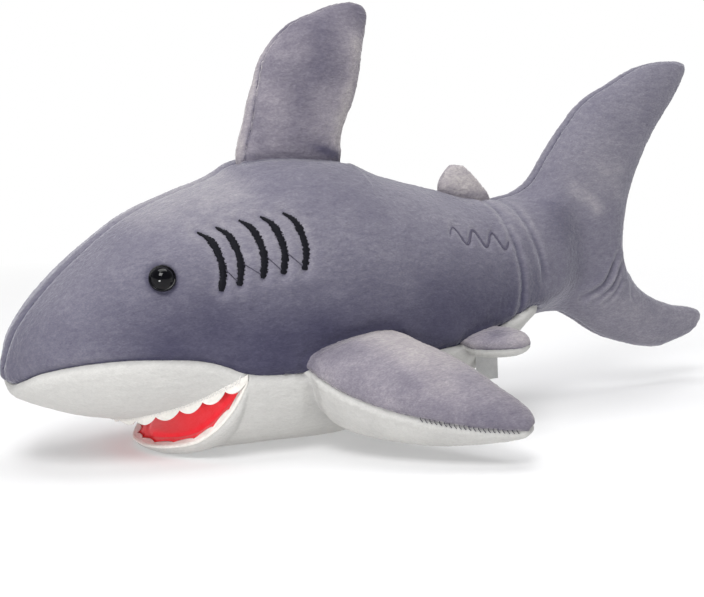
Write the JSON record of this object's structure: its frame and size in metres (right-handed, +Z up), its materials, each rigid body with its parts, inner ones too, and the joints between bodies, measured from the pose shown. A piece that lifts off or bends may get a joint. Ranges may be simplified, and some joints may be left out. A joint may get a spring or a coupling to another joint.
{
  "type": "plush shark",
  "caption": "Stuffed plush shark with a domed back, tall dorsal fin, crescent tail, splayed paired fins, satin-stitched gills, safety eyes and an open red felt mouth.",
  "frame": {"origin": "on the floor, under the middle of the bounding box", "axes": "+Z up, nose towards -X and tail towards +X, the shark's left side towards -Y; the XZ plane is the plane of symmetry"},
  "size_m": [0.626, 0.3498, 0.318],
  "materials": {
    "plush_grey": "short grey plush",
    "plush_fin": "short lighter grey plush",
    "plush_white": "short white plush",
    "felt_red": "red felt",
    "felt_white": "white felt",
    "thread_black": "satin-stitched thread",
    "thread_grey": "embroidery thread",
    "eye_black": "polished black",
    "washer_white": "moulded",
    "stuffing": "loose polyester fibre",
    "label_satin": "blank satin ribbon"
  },
  "bodies": {
    "torso": {"body_panel_left": "plush_grey", "body_panel_right": "plush_grey", "belly_panel": "plush_white", "snout_panel": "plush_white", "body_stuffing": "stuffing", "mouth_lining_upper": "felt_red", "teeth_upper": "felt_white", "eye_left": "eye_black", "eye_right": "eye_black", "eye_washer_left": "washer_white", "eye_washer_right": "washer_white", "gill_stitch_1_left": "thread_black", "gill_stitch_1_right": "thread_black", "gill_stitch_2_left": "thread_black", "gill_stitch_2_right": "thread_black", "gill_stitch_3_left": "thread_black", "gill_stitch_3_right": "thread_black", "gill_stitch_4_left": "thread_black", "gill_stitch_4_right": "thread_black", "gill_stitch_5_left": "thread_black", "gill_stitch_5_right": "thread_black", "ripple_stitch": "thread_grey"},
    "jaw": {"jaw_panel": "plush_white", "mouth_lining_lower": "felt_red", "jaw_stuffing": "stuffing", "teeth_lower": "felt_white"},
    "dorsal_fin": {"dorsal_fin_panel_left": "plush_fin", "dorsal_fin_panel_right": "plush_fin", "dorsal_fin_stuffing": "stuffing"},
    "second_dorsal_fin": {"second_dorsal_panel_left": "plush_fin", "second_dorsal_panel_right": "plush_fin", "second_dorsal_stuffing": "stuffing"},
    "tail": {"tail_panel_left": "plush_grey", "tail_panel_right": "plush_grey", "tail_stuffing": "stuffing"},
    "label": {"care_label": "label_satin"},
    "pectoral_fin_left": {"pectoral_fin_underside_left": "plush_white", "pectoral_fin_top_left": "plush_fin", "pectoral_fin_stuffing_left": "stuffing"},
    "pelvic_fin_left": {"pelvic_fin_underside_left": "plush_white", "pelvic_fin_top_left": "plush_fin", "pelvic_fin_stuffing_left": "stuffing"},
    "pectoral_fin_right": {"pectoral_fin_underside_right": "plush_white", "pectoral_fin_top_right": "plush_fin", "pectoral_fin_stuffing_right": "stuffing"},
    "pelvic_fin_right": {"pelvic_fin_underside_right": "plush_white", "pelvic_fin_top_right": "plush_fin", "pelvic_fin_stuffing_right": "stuffing"}
  },
  "joints": [
    {"name": "tail_bend", "type": "hinge", "parent": "torso", "child": "tail", "pos_m": [0.14, 0, 0.122], "axis": [0, 0, 1], "range_deg": [-25, 25], "stiffness_Nm_per_rad": 0.25},
    {"name": "dorsal_fin_flop", "type": "hinge", "parent": "torso", "child": "dorsal_fin", "pos_m": [-0.097, 0, 0.227], "axis": [1, 0, 0], "range_deg": [-30, 30], "stiffness_Nm_per_rad": 0.08},
    {"name": "second_dorsal_flop", "type": "hinge", "parent": "torso", "child": "second_dorsal_fin", "pos_m": [0.059, 0, 0.1815], "axis": [0.9903, 0, -0.1387], "range_deg": [-25, 25], "stiffness_Nm_per_rad": 0.002},
    {"name": "pectoral_left_flap", "type": "hinge", "parent": "torso", "child": "pectoral_fin_left", "pos_m": [-0.06738, -0.11012, 0.05347], "axis": [-0.9903, 0, -0.1392], "range_deg": [-10, 50], "stiffness_Nm_per_rad": 0.25},
    {"name": "pectoral_right_flap", "type": "hinge", "parent": "torso", "child": "pectoral_fin_right", "pos_m": [-0.06738, 0.11012, 0.05347], "axis": [0.9903, 0, 0.1392], "range_deg": [-10, 50], "stiffness_Nm_per_rad": 0.25},
    {"name": "pelvic_left_flap", "type": "hinge", "parent": "torso", "child": "pelvic_fin_left", "pos_m": [0.03017, -0.07953, 0.06538], "axis": [-0.9556, -0.2383, -0.1737], "range_deg": [-20, 30], "stiffness_Nm_per_rad": 0.004},
    {"name": "pelvic_right_flap", "type": "hinge", "parent": "torso", "child": "pelvic_fin_right", "pos_m": [0.03017, 0.07953, 0.06538], "axis": [0.9556, -0.2383, 0.1737], "range_deg": [-20, 30], "stiffness_Nm_per_rad": 0.004},
    {"name": "jaw_close", "type": "hinge", "parent": "torso", "child": "jaw", "pos_m": [-0.163, 0, 0.055], "axis": [0, 1, 0], "range_deg": [0, 8], "stiffness_Nm_per_rad": 0.1},
    {"name": "label_swing", "type": "hinge", "parent": "torso", "child": "label", "pos_m": [0.036, -0.0664, 0.055], "axis": [-1, 0, 0], "range_deg": [-30, 60], "stiffness_Nm_per_rad": 0.00002}
  ]
}
